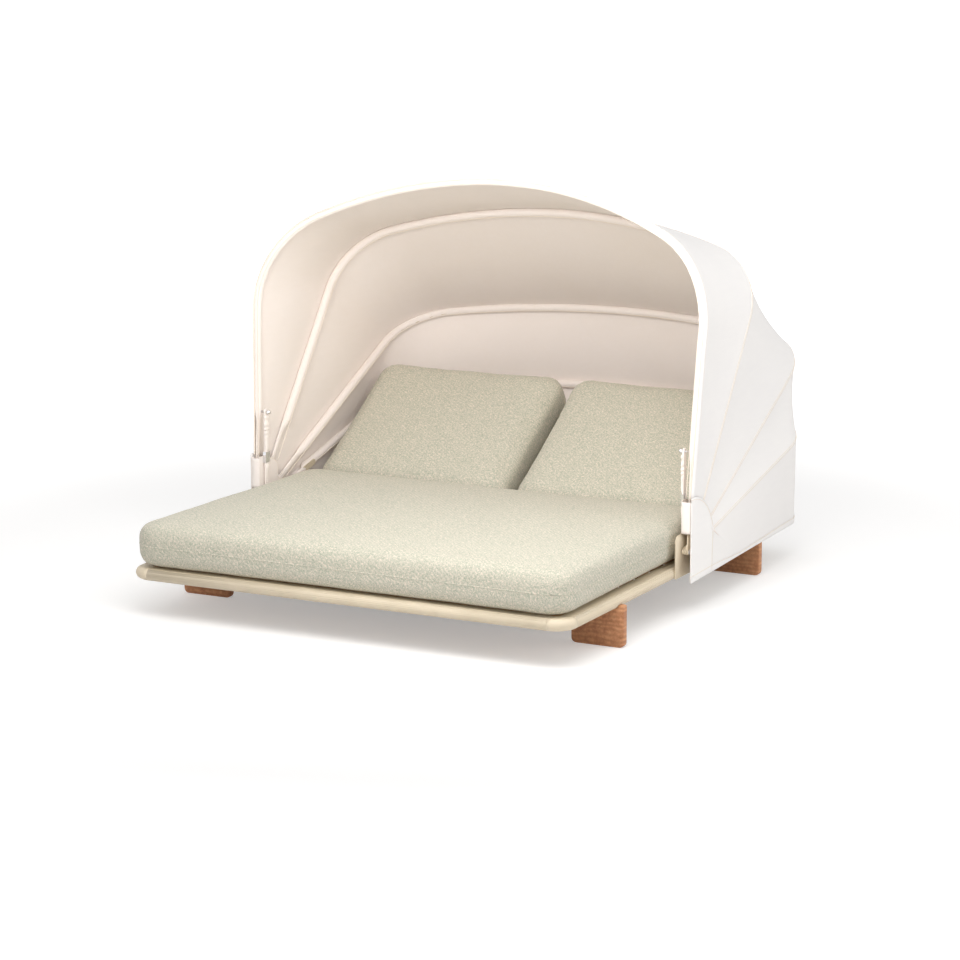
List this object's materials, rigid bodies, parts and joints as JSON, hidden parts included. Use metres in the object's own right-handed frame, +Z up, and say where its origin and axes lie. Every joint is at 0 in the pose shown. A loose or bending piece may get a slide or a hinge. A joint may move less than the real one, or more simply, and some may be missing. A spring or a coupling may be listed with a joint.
{
  "type": "outdoor daybed with canopy",
  "caption": "Low outdoor daybed with a thick mattress, reclining backrests and a fold-back fabric hood on hooped bows over its head end.",
  "frame": {"origin": "centre of the footprint at floor level", "axes": "+Z up, +Y towards the head end with the canopy, +X to the right seen from the foot end"},
  "size_m": [1.8216, 2.2126, 1.4648],
  "materials": {
    "powder_coat": "satin cream powder coat",
    "timber": "oiled reddish hardwood",
    "slat_timber": "plain sawn timber",
    "steel": "zinc plated",
    "chrome": "polished",
    "cushion_fabric": "woven pale grey-green outdoor fabric",
    "canopy_fabric": "woven off-white canopy fabric",
    "webbing": "cream webbing sleeve"
  },
  "bodies": {
    "platform": {"rail_front": "powder_coat", "rail_right": "powder_coat", "rail_rear": "powder_coat", "rail_left": "powder_coat", "corner_front_right": "powder_coat", "corner_rear_right": "powder_coat", "corner_rear_left": "powder_coat", "corner_front_left": "powder_coat", "cross_beam_front": "powder_coat", "cross_beam_rear": "powder_coat", "cross_beam_hinge": "powder_coat", "seat_deck": "slat_timber", "foot_front_right": "timber", "foot_rear_right": "timber", "foot_bracket_front_right": "steel", "foot_bracket_rear_right": "steel", "hinge_rod_right": "steel", "prop_rack_right": "steel", "pivot_plate_right": "powder_coat", "pivot_bolt_right": "steel", "foot_front_left": "timber", "foot_rear_left": "timber", "foot_bracket_front_left": "steel", "foot_bracket_rear_left": "steel", "hinge_rod_left": "steel", "prop_rack_left": "steel", "pivot_plate_left": "powder_coat", "pivot_bolt_left": "steel", "seat_mattress": "cushion_fabric", "canopy_panel_back": "canopy_fabric"},
    "backrest_right": {"backrest_frame_right": "powder_coat", "backrest_cushion_right": "cushion_fabric", "prop_pin_right": "steel"},
    "prop_arm_right": {"prop_right": "steel"},
    "backrest_left": {"backrest_frame_left": "powder_coat", "backrest_cushion_left": "cushion_fabric", "prop_pin_left": "steel"},
    "prop_arm_left": {"prop_left": "steel"},
    "hood_bow_4": {"canopy_bow_4": "powder_coat"},
    "hood_bow_3": {"canopy_bow_3": "powder_coat", "canopy_panel_lower": "canopy_fabric"},
    "hood_bow_2": {"canopy_bow_2": "powder_coat", "canopy_panel_upper": "canopy_fabric"},
    "hood_bow_1": {"canopy_bow_1": "powder_coat", "canopy_panel_front": "canopy_fabric", "stay_stud_right": "chrome", "stay_stud_left": "chrome"},
    "stay_strap_right": {"stay_right": "webbing", "stay_buckle_right": "chrome", "stay_snap_right": "chrome"},
    "stay_strap_left": {"stay_left": "webbing", "stay_buckle_left": "chrome", "stay_snap_left": "chrome"}
  },
  "joints": [
    {"name": "backrest_recline_right", "type": "hinge", "parent": "platform", "child": "backrest_right", "pos_m": [0.4, 0.21647, 0.1615], "axis": [-1, 0, 0], "range_deg": [0, 33]},
    {"name": "prop_swing_right", "type": "hinge", "parent": "backrest_right", "child": "prop_arm_right", "pos_m": [0.4, 0.5063, 0.3211], "axis": [1, 0, 0], "range_deg": [0, 87.6]},
    {"name": "backrest_recline_left", "type": "hinge", "parent": "platform", "child": "backrest_left", "pos_m": [-0.4, 0.21647, 0.1615], "axis": [-1, 0, 0], "range_deg": [0, 33]},
    {"name": "prop_swing_left", "type": "hinge", "parent": "backrest_left", "child": "prop_arm_left", "pos_m": [-0.4, 0.5063, 0.3211], "axis": [1, 0, 0], "range_deg": [0, 87.6]},
    {"name": "hood_bow_4_turn", "type": "hinge", "parent": "platform", "child": "hood_bow_4", "pos_m": [0, -0.19633, 0.228], "axis": [-1, 0, 0], "range_deg": [0, 8.5], "deforming": ["canopy_panel_back"]},
    {"name": "hood_bow_3_turn", "type": "hinge", "parent": "hood_bow_4", "child": "hood_bow_3", "pos_m": [0, -0.19633, 0.228], "axis": [-1, 0, 0], "range_deg": [0, 7], "deforming": ["canopy_panel_lower"]},
    {"name": "hood_fold", "type": "hinge", "parent": "hood_bow_3", "child": "hood_bow_2", "pos_m": [0, -0.19633, 0.228], "axis": [-1, 0, 0], "range_deg": [0, 22], "deforming": ["canopy_panel_upper"]},
    {"name": "hood_bow_1_turn", "type": "hinge", "parent": "hood_bow_2", "child": "hood_bow_1", "pos_m": [0, -0.19633, 0.228], "axis": [-1, 0, 0], "range_deg": [0, 17], "deforming": ["canopy_panel_front"]},
    {"name": "stay_swing_right", "type": "hinge", "parent": "hood_bow_1", "child": "stay_strap_right", "pos_m": [0.847, -0.17191, 0.57715], "axis": [-1, 0, 0], "range_deg": [0, 9.5]},
    {"name": "stay_swing_left", "type": "hinge", "parent": "hood_bow_1", "child": "stay_strap_left", "pos_m": [-0.847, -0.17191, 0.57715], "axis": [-1, 0, 0], "range_deg": [0, 9.5]}
  ],
  "couplings": [
    {"joint": "prop_swing_right", "follows": "backrest_recline_right", "ratio": 2.6242},
    {"joint": "prop_swing_left", "follows": "backrest_recline_left", "ratio": 2.6242},
    {"joint": "hood_bow_4_turn", "follows": "hood_fold", "ratio": 0.3636},
    {"joint": "hood_bow_3_turn", "follows": "hood_fold", "ratio": 0.2955},
    {"joint": "hood_bow_1_turn", "follows": "hood_fold", "ratio": 0.75},
    {"joint": "stay_swing_right", "follows": "hood_fold", "ratio": 0.409},
    {"joint": "stay_swing_left", "follows": "hood_fold", "ratio": 0.409}
  ]
}
